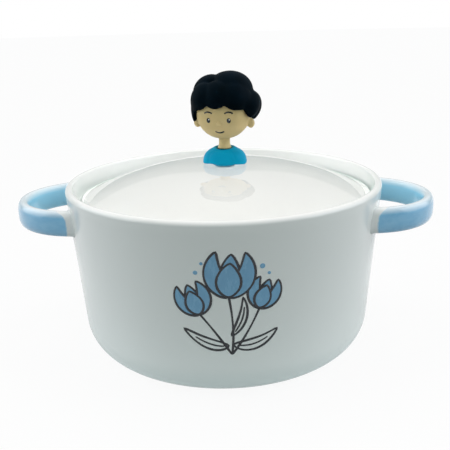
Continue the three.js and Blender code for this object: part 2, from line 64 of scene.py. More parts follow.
# Bowl
RIM_RADIUS = 87.5
BOWL_HEIGHT = 96.3
RIM_THICKNESS = 3.8
LIP_ROUNDING = 2.4
SEAT_DEPTH = 12
SEAT_DRAFT = 0.7
SEAT_WIDTH = 5
SEAT_FILLET = 1
WALL_THICKNESS = 7
CORNER_RADIUS = 22
INSIDE_CORNER = 22
FOOT_RADIUS = 59.3
FOOT_WIDTH = 5.5
FOOT_RECESS = 2.5
FOOT_EDGE = 0.5
FOOT_EDGE_RISE = 0.125
FOOT_BARE_HEIGHT = 0.25

# Ear handles
HANDLE_REACH = 29.5
HANDLE_BEND = 34.5
HANDLE_HEIGHT = 13.8
HANDLE_THICKNESS = 6.5
HANDLE_DROP = 16
HANDLE_SQUARENESS = 2.6
ROOT_FLARE = 0.7
ROOT_FLARE_LENGTH = 5
ROOT_FILLET = 0.6
ROOT_FILLET_LENGTH = 1.5
ROOT_END_RADIUS = 84.5
WHITE_ROOT_RADIUS = 90.3

# Glass lid, which lies loose in its seat and rests a little to the right of its middle
FIT_GAP = 0.3
LID_CLEARANCE = 1.6
LID_REST_SHIFT = 1.2
LID_RISE = 15.5
DOME_FULLNESS = 2.6
LID_FLANGE = 4
LID_KNEE = 6
GLASS_THICKNESS = 4
GLASS_HOLE_RADIUS = 3.4

# Doll bust
FOOT_GASKET_THICKNESS = 0.5
DOLL_YAW = -11
SHIRT_WIDTH = 24.4
SHIRT_DEPTH = 16.4
SHIRT_HEIGHT = 7.7
SHIRT_FOOT_RADIUS = 6.8
SHIRT_FOOT_HEIGHT = 1.7
SHIRT_FOOT_WALL = 1.2
SHIRT_FOOT_EDGE = 0.25
SHIRT_FOOT_SINK = 0.35
SLEEVE_DROOP = 0.9
HEM_DROP = 0.6
COLLAR_DIP = 0.9
COLLAR_DIP_FROM = 0.6
COLLAR_CLEARANCE = 0.8
COLLAR_WALL = 0.9
COLLAR_DEPTH = 1.2
COLLAR_EDGE = 0.3
CREASE_ANGLE = 34
CREASE_WIDTH = 9
CREASE_DEPTH = 0.3
NECK_RADIUS = 3.1
NECK_FLARE = 0.8
NECK_FLARE_HEIGHT = 2.2
NECK_LENGTH = 5.7
HEAD_WIDTH = 30
HEAD_DEPTH = 26.5
HEAD_HEIGHT = 32
HEAD_SQUARENESS = 2.5
JAW_TAPER = 0.13
EAR_RADII = (2.2, 1.8, 2.8)
EAR_LEVEL = -7.5
NOSE_RADIUS = 1.2
NOSE_LEVEL = -6.5
HAIR_THICKNESS = 0.9
HAIR_EDGE_THICKNESS = 2
HAIR_SINK = 0.6
LOCK_GROOVE = 1.2
LOCK_NOTCH = 9
HAIR_SMOOTHING = 30
HEAD_VOXEL = 0.4
HEAD_SMOOTHING = 8
SMOOTH_FACTOR = 0.5

# Heights and radii worked out from the sizes above
SEAT_Z = BOWL_HEIGHT - SEAT_DEPTH
RIM_INSIDE = RIM_RADIUS - RIM_THICKNESS
SEAT_WALL = RIM_INSIDE - SEAT_DRAFT
SEAT_INSIDE = SEAT_WALL - SEAT_WIDTH
LIP_Z = BOWL_HEIGHT - LIP_ROUNDING
LID_RADIUS = SEAT_WALL - LID_CLEARANCE
LID_EDGE_TOP = SEAT_Z + FIT_GAP + GLASS_THICKNESS
LID_TOP = LID_EDGE_TOP + LID_RISE
SHIRT_FOOT_Z = LID_TOP + FIT_GAP
FOOT_RECESS_RADIUS = SHIRT_FOOT_RADIUS - SHIRT_FOOT_WALL
FOOT_RECESS_TOP = SHIRT_FOOT_Z + FOOT_GASKET_THICKNESS + FIT_GAP
SHIRT_Z = SHIRT_FOOT_Z + SHIRT_FOOT_HEIGHT
SHIRT_TOP = SHIRT_Z + SHIRT_HEIGHT
COLLAR_RADIUS = NECK_RADIUS + NECK_FLARE + COLLAR_CLEARANCE
COLLAR_Z = SHIRT_TOP - COLLAR_DEPTH
NECK_Z = COLLAR_Z + FIT_GAP
CHIN_Z = NECK_Z + NECK_LENGTH
HEAD_Z = CHIN_Z + HEAD_HEIGHT / 2


# Outlines: points of radius and height
def arc(radius, height, size, start, end, steps):
    """Points along a round stretch of an outline, between two angles in degrees."""
    angles = np.radians(np.linspace(start, end, steps + 1))
    return [(radius + size * math.cos(a), height + size * math.sin(a)) for a in angles]


def straight(start, end, steps):
    """Points between two ends of a straight stretch, without the ends."""
    shares = np.linspace(0, 1, steps + 1)[1:-1]
    return [tuple(np.array(start) + s * (np.array(end) - np.array(start))) for s in shares]


def tangent_angle(point, centre, radius):
    """Where a line from an outside point touches a circle, in degrees about the circle's centre."""
    away = np.subtract(point, centre)
    return math.degrees(math.atan2(away[1], away[0]) - math.acos(radius / math.hypot(*away)))


CORNER_CENTRE = (FOOT_RADIUS, CORNER_RADIUS)
RIM_POINT = (RIM_RADIUS, LIP_Z)
WALL_START_ANGLE = tangent_angle(RIM_POINT, CORNER_CENTRE, CORNER_RADIUS)
WALL_START = arc(*CORNER_CENTRE, CORNER_RADIUS, WALL_START_ANGLE, WALL_START_ANGLE, 1)[0]
WALL_LEAN = (RIM_RADIUS - WALL_START[0]) / (LIP_Z - WALL_START[1])


def wall_radius(height):
    """Radius of the bowl's straight outer wall at a height."""
    return WALL_START[0] + WALL_LEAN * (height - WALL_START[1])


CORNER_STEPS = 28
WALL_STEPS = 20
LIP_STEPS = 12
INSIDE_LIP_STEPS = 9
FILLET_STEPS = 8
RECESS_STEPS = 8
INSIDE_FLOOR_STEPS = 16
BOWL_TURN_STEPS = 192


def bowl_outline():
    """Outline from the recess under the foot, up the wall and over the lip, to the floor inside."""
    inside_lip = RIM_THICKNESS - LIP_ROUNDING
    inside_radius = FOOT_RADIUS + CORNER_RADIUS - WALL_THICKNESS - INSIDE_CORNER
    inside_centre = (inside_radius, WALL_THICKNESS + INSIDE_CORNER)
    seat_edge = (SEAT_INSIDE, SEAT_Z - SEAT_FILLET)
    inside_start = tangent_angle(seat_edge, inside_centre, INSIDE_CORNER)
    recess_edge = FOOT_RADIUS - FOOT_WIDTH - FOOT_RECESS
    foot_edge = FOOT_RADIUS - FOOT_WIDTH
    outside_corner = arc(*CORNER_CENTRE, CORNER_RADIUS, -90, WALL_START_ANGLE, CORNER_STEPS)
    inside_arc = arc(*inside_centre, INSIDE_CORNER, inside_start, -90, CORNER_STEPS)
    return [
        (0, FOOT_RECESS),
        *straight((0, FOOT_RECESS), (recess_edge, FOOT_RECESS), RECESS_STEPS),
        (recess_edge, FOOT_RECESS),
        (foot_edge - FOOT_EDGE, FOOT_EDGE),
        (foot_edge, FOOT_EDGE_RISE),
        (foot_edge + FOOT_EDGE, 0),
        *outside_corner,
        *straight(outside_corner[-1], RIM_POINT, WALL_STEPS),
        *arc(RIM_RADIUS - LIP_ROUNDING, LIP_Z, LIP_ROUNDING, 0, 90, LIP_STEPS),
        *arc(RIM_INSIDE + inside_lip, BOWL_HEIGHT - inside_lip, inside_lip, 90, 180, INSIDE_LIP_STEPS)[1:],
        *arc(SEAT_WALL - SEAT_FILLET, SEAT_Z + SEAT_FILLET, SEAT_FILLET, 0, -90, FILLET_STEPS),
        *arc(SEAT_INSIDE + SEAT_FILLET, seat_edge[1], SEAT_FILLET, 90, 180, FILLET_STEPS),
        *straight((SEAT_INSIDE, seat_edge[1]), inside_arc[0], WALL_STEPS),
        *inside_arc,
        *straight(inside_arc[-1], (0, WALL_THICKNESS), INSIDE_FLOOR_STEPS),
        (0, WALL_THICKNESS),
    ]


DOME_EDGE = LID_RADIUS - LID_FLANGE
SHOULDER_ANGLE = math.atan(LID_RISE * DOME_FULLNESS / DOME_EDGE)
KNEE_REACH = LID_KNEE * math.tan(SHOULDER_ANGLE / 2)


def dome_point(distance, depth):
    """Point of the lid's dome at a distance from the axis, at a depth in the glass."""
    drop = LID_RISE * (distance / DOME_EDGE) ** DOME_FULLNESS
    slope = DOME_FULLNESS * drop / distance
    inward = depth / math.hypot(slope, 1)
    return distance - slope * inward, LID_TOP - drop - inward


DOME_STEPS = 48
KNEE_STEPS = 28


def lid_outline():
    """Outline from the hole along the underside of the glass, round its edge and back over the top."""
    knee = (DOME_EDGE + KNEE_REACH, LID_EDGE_TOP + LID_KNEE)
    knee_start = 270 - math.degrees(SHOULDER_ANGLE)
    edge = GLASS_THICKNESS / 2
    dome_end = DOME_EDGE - KNEE_REACH * math.cos(SHOULDER_ANGLE)
    distances = np.linspace(GLASS_HOLE_RADIUS, dome_end, DOME_STEPS)
    return [
        *[dome_point(distance, GLASS_THICKNESS) for distance in distances],
        *arc(*knee, LID_KNEE + GLASS_THICKNESS, knee_start, 270, KNEE_STEPS)[1:],
        *arc(LID_RADIUS - edge, LID_EDGE_TOP - edge, edge, -90, 90, KNEE_STEPS),
        *arc(*knee, LID_KNEE, 270, knee_start, KNEE_STEPS)[:-1],
        *[dome_point(distance, 0) for distance in distances[::-1]],
    ]


# Meshes
WELD_DISTANCE = 1e-7


def grid_faces(rows, columns, wrap_rows, wrap_columns, first=0):
    """Quads over a grid of points that is numbered row by row, closed on itself where it wraps."""
    faces = []
    for i in range(rows if wrap_rows else rows - 1):
        for j in range(columns if wrap_columns else columns - 1):
            below, above = i, (i + 1) % rows
            left, right = j, (j + 1) % columns
            corners = ((below, left), (below, right), (above, right), (above, left))
            faces.append(tuple(first + row * columns + column for row, column in corners))
    return faces


def add_object(name, data):
    """New object in the scene."""
    holder = bpy.data.objects.new(name, data)
    bpy.context.scene.collection.objects.link(holder)
    return holder


def coat(mesh, material):
    """Gives a mesh one material and smooth shading."""
    mesh.materials.clear()
    mesh.materials.append(material)
    mesh.polygons.foreach_set("use_smooth", [True] * len(mesh.polygons))


def make_mesh(name, points, faces, materials, pick=None):
    """Object from points in millimetres. pick gives each face's material by its middle."""
    mesh = bpy.data.meshes.new(name)
    mesh.from_pydata([tuple(np.array(p) * MM) for p in points], [], faces)
    for material in materials:
        mesh.materials.append(material)
    shape = bmesh.new()
    shape.from_mesh(mesh)
    bmesh.ops.remove_doubles(shape, verts=shape.verts, dist=WELD_DISTANCE)
    bmesh.ops.recalc_face_normals(shape, faces=shape.faces)
    for face in shape.faces:
        face.smooth = True
        if pick:
            face.material_index = pick(face.calc_center_median() / MM)
    shape.to_mesh(mesh)
    shape.free()
    return add_object(name, mesh)


def revolve(name, outline, steps, materials, closed=False, pick=None):
    """Solid of revolution about Z from an outline of radius and height."""
    turns = [2 * math.pi * k / steps for k in range(steps)]
    points = [(r * math.cos(t), r * math.sin(t), z) for r, z in outline for t in turns]
    faces = grid_faces(len(outline), steps, closed, True)
    return make_mesh(name, points, faces, materials, pick)


def loft_points(rings):
    """Points and faces of a closed skin over a row of rings, with a fan over each end."""
    count = len(rings[0])
    points = [p for ring in rings for p in ring]
    faces = grid_faces(len(rings), count, False, True)
    for ring_start, ring in ((0, rings[0]), ((len(rings) - 1) * count, rings[-1])):
        points.append(tuple(np.mean(ring, axis=0)))
        middle = len(points) - 1
        faces += [(middle, ring_start + k, ring_start + (k + 1) % count) for k in range(count)]
    return points, faces


def superellipse(angle, half_width, half_depth, squareness):
    """A point of a circle at squareness 2, and of a rounded rectangle above that."""
    c, s = math.cos(angle), math.sin(angle)
    bend = 2 / squareness
    x = half_width * math.copysign(abs(c) ** bend, c)
    y = half_depth * math.copysign(abs(s) ** bend, s)
    return x, y


def dress(piece, body, slot, *nodes):
    """Puts a piece on its body, in place of the nodes it stands for. The slot is not used."""
    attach(piece, body)
    if nodes:
        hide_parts(*nodes)
    return piece


# Materials
EVEN = (1, 1, 1)
LEVEL = (1, 1, 0)
NOISE_SPAN = (0.3, 0.7)
SPECK_CORE = 0.6


class Graph:
    """Node tree of a material or a world, with short calls that add a node and give back its output."""

    def __init__(self, name, kind="materials", output="OutputMaterial"):
        self.owner = getattr(bpy.data, kind).new(name)
        self.owner.use_nodes = True
        self.output = output
        self.tree = self.owner.node_tree
        self.tree.nodes.clear()
        coordinates = self.node("TexCoord").outputs
        self.place = coordinates["Object"]
        self.direction = coordinates["Generated"]

    def node(self, kind, **settings):
        node = self.tree.nodes.new("ShaderNode" + kind)
        for key, value in settings.items():
            setattr(node, key, value)
        return node

    def put(self, socket, value):
        """Sets a socket, or joins it to another node's output."""
        if isinstance(value, bpy.types.NodeSocket):
            self.tree.links.new(value, socket)
        elif hasattr(value, "__len__") and len(value) == 3 and len(socket.default_value) == 4:
            socket.default_value = (*value, 1)
        else:
            socket.default_value = value

    def noise(self, size, detail=2, roughness=0.5, stretch=EVEN):
        """Soft noise with features of about a size in millimetres."""
        spread = self.node("Mapping")
        self.put(spread.inputs["Vector"], self.place)
        self.put(spread.inputs["Scale"], stretch)
        node = self.node("TexNoise")
        self.put(node.inputs["Vector"], spread.outputs["Vector"])
        self.put(node.inputs["Scale"], 1 / (size * MM))
        self.put(node.inputs["Detail"], detail)
        self.put(node.inputs["Roughness"], roughness)
        return node.outputs["Fac"]

    def specks(self, spacing, size):
        """Small round specks, one in each cell of about a spacing in millimetres."""
        node = self.node("TexVoronoi")
        self.put(node.inputs["Vector"], self.place)
        self.put(node.inputs["Scale"], 1 / (spacing * MM))
        return self.remap(node.outputs["Distance"], size / spacing, SPECK_CORE * size / spacing, 0, 1)

    def remap(self, value, low, high, to_low, to_high):
        node = self.node("MapRange")
        for socket, number in zip(node.inputs, (value, low, high, to_low, to_high)):
            self.put(socket, number)
        return node.outputs["Result"]

    def vary(self, noise, low, high):
        """Values from low to high that follow a noise."""
        return self.remap(noise, *NOISE_SPAN, low, high)

    def mix(self, factor, first, second):
        node = self.node("Mix", data_type="RGBA")
        factor_socket, first_socket, second_socket = node.inputs[0], node.inputs[6], node.inputs[7]
        self.put(factor_socket, factor)
        self.put(first_socket, first)
        self.put(second_socket, second)
        return node.outputs[2]

    def math(self, operation, first, second):
        node = self.node("Math", operation=operation)
        self.put(node.inputs[0], first)
        self.put(node.inputs[1], second)
        return node.outputs[0]

    def vector(self, operation, first, second=(0, 0, 0)):
        node = self.node("VectorMath", operation=operation)
        self.put(node.inputs[0], first)
        self.put(node.inputs[1], second)
        return node.outputs["Value" if operation in ("DOT_PRODUCT", "LENGTH") else "Vector"]

    def bump(self, height, depth):
        """Surface relief of a depth in millimetres."""
        node = self.node("Bump")
        self.put(node.inputs["Height"], height)
        self.put(node.inputs["Distance"], depth * MM)
        return node.outputs["Normal"]

    def principled(self, **inputs):
        node = self.node("BsdfPrincipled")
        for name, value in inputs.items():
            self.put(node.inputs[name.replace("_", " ")], value)
        return node.outputs["BSDF"]

    def mix_shader(self, factor, first, second):
        node = self.node("MixShader")
        for socket, value in zip(node.inputs, (factor, first, second)):
            self.put(socket, value)
        return node.outputs["Shader"]

    def clear_view(self):
        """1 for rays that see the white background: from the camera and through glass."""
        path = self.node("LightPath").outputs
        return self.math("MAXIMUM", path["Is Camera Ray"], path["Is Transmission Ray"])

    def reflected(self):
        return self.node("LightPath").outputs["Is Glossy Ray"]

    def done(self, shader, volume=None):
        out = self.node(self.output)
        self.tree.links.new(shader, out.inputs["Surface"])
        if volume:
            self.tree.links.new(volume, out.inputs["Volume"])
        return self.owner


def srgb(red, green, blue):
    """Linear colour from 0 to 255 values on the sRGB curve."""
    shares = [v / 255 for v in (red, green, blue)]
    return tuple(s / 12.92 if s <= 0.04045 else ((s + 0.055) / 1.055) ** 2.4 for s in shares)


# Colours: deep and pale tones of each material, and its specks
PORCELAIN_TONES = (srgb(251, 250, 248), srgb(252, 251, 249))
PORCELAIN_SPECK = srgb(205, 204, 198)
CLAY_TONES = (srgb(206, 202, 193), srgb(229, 226, 219))
HANDLE_BLUES = (srgb(126, 198, 242), srgb(146, 210, 249))
# Painted bounce light: paler blue for the faces round the finger gap
GAP_BOUNCE_BLUE = srgb(164, 227, 255)
# Thin glaze over the top of the strap, paled further into a painted highlight
THIN_GLAZE_AND_HIGHLIGHT_BLUE = srgb(244, 249, 252)
ROOT_WHITE = srgb(250, 251, 251)
ROOT_SPECK = srgb(214, 214, 210)
SILICONE_TONES = (srgb(214, 226, 222), srgb(236, 242, 240))
STEEL_TONES = (srgb(238, 240, 240), srgb(250, 250, 249))
SHIRT_TONES = (srgb(0, 156, 199), srgb(0, 166, 207))
SKIN_TONES = (srgb(219, 191, 136), srgb(224, 199, 147))
HAIR_TONES = (srgb(1, 10, 16), srgb(2, 16, 26))
INK_TONES = (srgb(18, 22, 30), srgb(30, 34, 44))
PRINT_BLUES = (srgb(118, 172, 211), srgb(136, 186, 220))

GLAZE_IOR = 1.5
GLASS_IOR = 1.5
SILICONE_IOR = 1.41
VINYL_IOR = 1.46


def porcelain_glaze():
    """White glaze with slow drifts of tone, a few specks and a faint ripple."""
    g = Graph("porcelain_glaze")
    drift = g.vary(g.noise(size=45, detail=3), 0, 1)
    tone = g.mix(drift, *PORCELAIN_TONES)
    colour = g.mix(g.specks(spacing=9, size=0.16), tone, PORCELAIN_SPECK)
    ripple = g.bump(g.noise(size=11), depth=0.05)
    rough = g.vary(g.noise(size=30, detail=4), 0.1, 0.17)
    return g.done(
        g.principled(
            Base_Color=colour, Roughness=rough, IOR=GLAZE_IOR, Normal=ripple, Coat_Weight=0.05,
            Coat_Roughness=0.06,
        )
    )


def bare_clay():
    g = Graph("bare_clay")
    grain = g.noise(size=0.7, detail=4, roughness=0.7)
    colour = g.mix(g.vary(grain, 0, 1), *CLAY_TONES)
    rough = g.vary(grain, 0.7, 0.9)
    return g.done(g.principled(Base_Color=colour, Roughness=rough, Normal=g.bump(grain, depth=0.12)))


# Handle glaze: how it thins over the top, where a highlight is painted in too, the painted bounce light on
# the faces round the finger gap and the brushed edge at the roots
THIN_AND_HIGHLIGHT_OVER = 3.4
THIN_AND_HIGHLIGHT_BY = 0.9
GAP_MIDDLE = RIM_RADIUS + (HANDLE_REACH - HANDLE_THICKNESS) / 2
GAP_LIGHT_DEPTH = 9
ROOT_CORNER_HEIGHT = 6
ROOT_CORNER_REACH = 3.5
ROOT_EDGE_SOFTNESS = 0.35
BRUSH_WANDER = 1.6
RIPPLE_SHARE = 0.8
POOLING_RANGE = (0.32, 0.68)
POOLING_STRETCH = (1, 1, 2.2)


def handle_glaze():
    """Blue glaze brushed over the strap, white at the roots: paler over the top, where the glaze thins and a
    highlight is painted, and paler round the finger gap as painted bounce light.
    """
    g = Graph("handle_glaze")
    axes = g.node("SeparateXYZ")
    g.put(axes.inputs["Vector"], g.place)
    height = axes.outputs["Z"]
    top_edge = (BOWL_HEIGHT - HANDLE_DROP + HANDLE_HEIGHT / 2) * MM
    reach = g.vector("LENGTH", g.vector("MULTIPLY", g.place, LEVEL))
    corner = g.remap(height, top_edge - ROOT_CORNER_HEIGHT * MM, top_edge, 0, 1)
    rounded = g.math("MULTIPLY", g.math("POWER", corner, 2), ROOT_CORNER_REACH * MM)
    wander = g.math("MULTIPLY", g.noise(size=5), BRUSH_WANDER * MM)
    brushed = g.math("ADD", wander, g.math("SUBTRACT", reach, rounded))
    edge = WHITE_ROOT_RADIUS * MM
    softness = ROOT_EDGE_SOFTNESS * MM
    painted = g.remap(brushed, edge - softness, edge + softness, 0, 1)
    pooled = g.noise(size=9, detail=4, roughness=0.6, stretch=POOLING_STRETCH)
    pooling = g.remap(pooled, *POOLING_RANGE, 0, 1)
    from_gap = g.vector("SUBTRACT", g.vector("ABSOLUTE", g.place), (GAP_MIDDLE * MM, 0, 0))
    outward = g.vector("MULTIPLY", g.node("NewGeometry").outputs["Normal"], g.vector("SIGN", g.place))
    faces_gap = g.vector("DOT_PRODUCT", from_gap, g.vector("MULTIPLY", outward, LEVEL))
    # Painted bounce light: the faces round the finger gap get a paler blue, standing in for light bounced
    # inside the loop
    painted_gap_light = g.remap(faces_gap, 0, -GAP_LIGHT_DEPTH * MM, 0, 1)
    # Partly glaze thinning over the top edge, partly a painted highlight: the top of the strap turns a
    # near-white blue
    thin_glaze_and_highlight = g.remap(height, top_edge - THIN_AND_HIGHLIGHT_OVER * MM, top_edge, 0, THIN_AND_HIGHLIGHT_BY)
    blue = g.mix(painted_gap_light, g.mix(pooling, *HANDLE_BLUES), GAP_BOUNCE_BLUE)
    white = g.mix(g.specks(spacing=7, size=0.14), ROOT_WHITE, ROOT_SPECK)
    colour = g.mix(painted, white, g.mix(thin_glaze_and_highlight, blue, THIN_GLAZE_AND_HIGHLIGHT_BLUE))
    step = g.math("ADD", painted, g.math("MULTIPLY", g.noise(size=7), RIPPLE_SHARE))
    rough = g.remap(pooling, 0, 1, 0.12, 0.2)
    return g.done(
        g.principled(
            Base_Color=colour, Roughness=rough, IOR=GLAZE_IOR, Normal=g.bump(step, depth=0.06),
            Coat_Weight=0.7, Coat_Roughness=0.2,
        )
    )


GLASS_DEPTH_TINT = (0.82, 0.88, 0.87)
GLASS_DEPTH_DENSITY = 20
WIPE_RANGE = (0.45, 0.75)
WIPE_STRETCH = (1, 2.5, 1)


def clear_glass(name, tint, shadow_tint, least_rough, most_rough, ripple_depth):
    """Glass that lets lamplight and mirrored light through, with wipe marks and a pressed ripple."""
    g = Graph(name)
    wiped = g.noise(size=16, detail=4, roughness=0.6, stretch=WIPE_STRETCH)
    rough = g.remap(wiped, *WIPE_RANGE, least_rough, most_rough)
    relief = g.bump(g.noise(size=24, detail=1), ripple_depth)
    glass = g.principled(
        Base_Color=tint, Roughness=rough, IOR=GLASS_IOR, Transmission_Weight=1, Normal=relief
    )
    depth = g.node("VolumeAbsorption")
    g.put(depth.inputs["Color"], GLASS_DEPTH_TINT)
    g.put(depth.inputs["Density"], GLASS_DEPTH_DENSITY)
    through = g.node("BsdfTransparent")
    g.put(through.inputs["Color"], shadow_tint)
    path = g.node("LightPath").outputs
    passes = g.math("MAXIMUM", path["Is Shadow Ray"], path["Is Glossy Ray"])
    return g.done(g.mix_shader(passes, glass, through.outputs["BSDF"]), depth.outputs["Volume"])


def clear_silicone():
    g = Graph("clear_silicone")
    cloud = g.noise(size=2.5, detail=3)
    colour = g.mix(cloud, *SILICONE_TONES)
    rough = g.vary(cloud, 0.35, 0.5)
    return g.done(
        g.principled(
            Base_Color=colour, Roughness=rough, IOR=SILICONE_IOR, Transmission_Weight=0.55,
            Normal=g.bump(cloud, depth=0.05),
        )
    )


TURNING_STRETCH = (1, 1, 6)


def turned_steel():
    g = Graph("turned_steel")
    rings = g.noise(size=0.5, detail=3, roughness=0.6, stretch=TURNING_STRETCH)
    colour = g.mix(rings, *STEEL_TONES)
    rough = g.vary(rings, 0.38, 0.52)
    relief = g.bump(rings, depth=0.02)
    return g.done(g.principled(Base_Color=colour, Roughness=rough, Metallic=0.25, Normal=relief))


VINYL_ROUGH_SPREAD = 0.06


def soft_vinyl(name, tones, rough, specular, grain_size=0.45):
    """Moulded soft vinyl: a fine matte grain, with slow drifts of tone."""
    g = Graph(name)
    drift = g.vary(g.noise(size=9, detail=3, roughness=0.55), 0, 1)
    grain = g.noise(size=grain_size, detail=3, roughness=0.6)
    colour = g.mix(drift, *tones)
    roughness = g.vary(grain, rough - VINYL_ROUGH_SPREAD, rough + VINYL_ROUGH_SPREAD)
    return g.done(
        g.principled(
            Base_Color=colour, Roughness=roughness, IOR=VINYL_IOR, Normal=g.bump(grain, depth=0.018),
            Specular_IOR_Level=specular,
        )
    )


def fired_print(name, tones, stretch=EVEN):
    """Printed colour fired into the glaze, a little uneven where the screen laid it."""
    g = Graph(name)
    laid = g.noise(size=3.2, detail=4, roughness=0.65, stretch=stretch)
    colour = g.mix(g.vary(laid, 0, 1), *tones)
    rough = g.vary(laid, 0.2, 0.32)
    relief = g.bump(laid, depth=0.01)
    return g.done(g.principled(Base_Color=colour, Roughness=rough, IOR=GLAZE_IOR, Normal=relief))


GLAZE = porcelain_glaze()
CLAY = bare_clay()
BLUE_GLAZE = handle_glaze()
GLASS = clear_glass(
    "lid_glass", tint=srgb(253, 254, 254), shadow_tint=srgb(237, 238, 238), least_rough=0.0, most_rough=0.01,
    ripple_depth=0.0008,
)
GLASS_EDGE = clear_glass(
    "ground_glass_edge", tint=srgb(208, 231, 222), shadow_tint=srgb(236, 244, 240), least_rough=0.1,
    most_rough=0.2, ripple_depth=0.02,
)
SILICONE = clear_silicone()
STEEL = turned_steel()
SHIRT = soft_vinyl("shirt_vinyl", SHIRT_TONES, rough=0.5, specular=0.1)
SKIN = soft_vinyl("skin_vinyl", SKIN_TONES, rough=0.52, specular=0.3)
HAIR = soft_vinyl("hair_vinyl", HAIR_TONES, rough=0.58, specular=0.03, grain_size=0.7)
INK = fired_print("print_ink", INK_TONES)
PRINT_BLUE = fired_print("print_blue", PRINT_BLUES, stretch=(1, 1, 0.4))


# Bowl
def bowl():
    def pick(middle):
        return 1 if middle.z < FOOT_BARE_HEIGHT else 0

    piece = revolve("bowl_body", bowl_outline(), BOWL_TURN_STEPS, (GLAZE, CLAY), pick=pick)
    return dress(piece, "vessel", "porcelain", "bowl")


# Ear handles: a strap bent round an arc, flared and filleted where it is luted to the wall
BEND_SHARE = 0.93
HANDLE_STEPS = 112
SECTION_STEPS = 56


def handle_ring(share, side):
    """Points round the strap at a share of its length, from -1 at one root to 1 at the other."""
    bend_x = RIM_RADIUS + HANDLE_REACH - HANDLE_THICKNESS / 2 - HANDLE_BEND
    middle_z = BOWL_HEIGHT - HANDLE_DROP
    run = max(0, abs(share) - BEND_SHARE) / (1 - BEND_SHARE)
    turn = max(-1, min(1, share / BEND_SHARE)) * math.pi / 2
    outward = np.array([math.cos(turn), math.sin(turn), 0])
    centre = HANDLE_BEND * outward + np.array([bend_x, 0, middle_z])
    from_wall = math.hypot(centre[0], centre[1]) - RIM_RADIUS
    flare = ROOT_FLARE * max(0, 1 - max(0, from_wall) / ROOT_FLARE_LENGTH) ** 2
    ring = []
    for j in range(SECTION_STEPS):
        angle = 2 * math.pi * j / SECTION_STEPS
        half_width = HANDLE_THICKNESS / 2 + flare
        across, up = superellipse(angle, half_width, HANDLE_HEIGHT / 2, HANDLE_SQUARENESS)
        place = centre + across * outward + np.array([0, 0, up])
        end_x = math.sqrt(ROOT_END_RADIUS**2 - place[1] ** 2) if run else place[0]
        place[0] += run * (end_x - place[0])
        gap = max(0, math.hypot(place[0], place[1]) - wall_radius(place[2]))
        fillet = ROOT_FILLET * max(0, 1 - gap / ROOT_FILLET_LENGTH) ** 2
        away = (place - centre) / np.linalg.norm(place - centre)
        place = place + fillet * away
        ring.append((side * place[0], side * place[1], place[2]))
    return ring


def handle(name, node, side):
    shares = [1 - 2 * i / HANDLE_STEPS for i in range(HANDLE_STEPS + 1)]
    points, faces = loft_points([handle_ring(share, side) for share in shares])
    return dress(make_mesh(name, points, faces, (BLUE_GLAZE,)), "vessel", "blue_glaze", node)


# Printed sprig on the front of the bowl, drawn in millimetres across and up from its middle
PRINT_FACING = 3.9
PRINT_HEIGHT = 55.5
INK_WIDTH = 1.1
INK_LIFT = 0.03
INK_LAYER = 0.02
INK_SINK = 0.05
CURVE_STEPS = 40
PRESSURE_CHANGE = 0.14
PRESSURE_LENGTH = 4.1
PEN_TIP = 0.02
NEAR_ZERO = 1e-9
DOT_STEPS = 28
DOT_SHARES = np.array([0.02, 0.35, 0.7, 1.0])
BLADE_LEAN = 0.82
BLADE_ROUNDNESS = 0.72
BLADE_COLUMNS = 9


def on_wall(across, up, lift):
    """Point of the bowl's front wall, lifted off it, at a place in the printed picture."""
    height = PRINT_HEIGHT + up
    radius = wall_radius(height)
    facing = math.radians(PRINT_FACING) + across / wall_radius(PRINT_HEIGHT)
    slope = math.hypot(1, WALL_LEAN)
    outward = radius + lift / slope
    return outward * math.sin(facing), -outward * math.cos(facing), height - lift * WALL_LEAN / slope


def bezier(start, pull, end, steps=CURVE_STEPS):
    """Points along a curve from start to end that leans towards pull."""
    shares = np.linspace(0, 1, steps + 1)[:, None]
    start, pull, end = (np.array(p, float) for p in (start, pull, end))
    return (1 - shares) ** 2 * start + 2 * shares * (1 - shares) * pull + shares**2 * end


def sideways(line, closed=False):
    """Unit vectors to the left of a line at each of its points."""
    along = np.roll(line, -1, axis=0) - np.roll(line, 1, axis=0) if closed else np.gradient(line, axis=0)
    along = along / np.maximum(np.linalg.norm(along, axis=1), NEAR_ZERO)[:, None]
    return np.stack([-along[:, 1], along[:, 0]], axis=1)


def pen_widths(line, width, closed):
    """Half widths of a pen stroke: a slow change of pressure, and round ends on an open line."""
    steps = np.linalg.norm(np.diff(line, axis=0), axis=1)
    travelled = np.concatenate([[0], np.cumsum(steps)])
    pressure = 1 + PRESSURE_CHANGE * np.sin(travelled / PRESSURE_LENGTH)
    half = width / 2 * pressure
    if closed:
        return half
    to_end = np.minimum(travelled, travelled[-1] - travelled)
    rounding = np.clip(1 - to_end / half, 0, 1)
    return np.maximum(half * np.sqrt(1 - rounding**2), PEN_TIP)


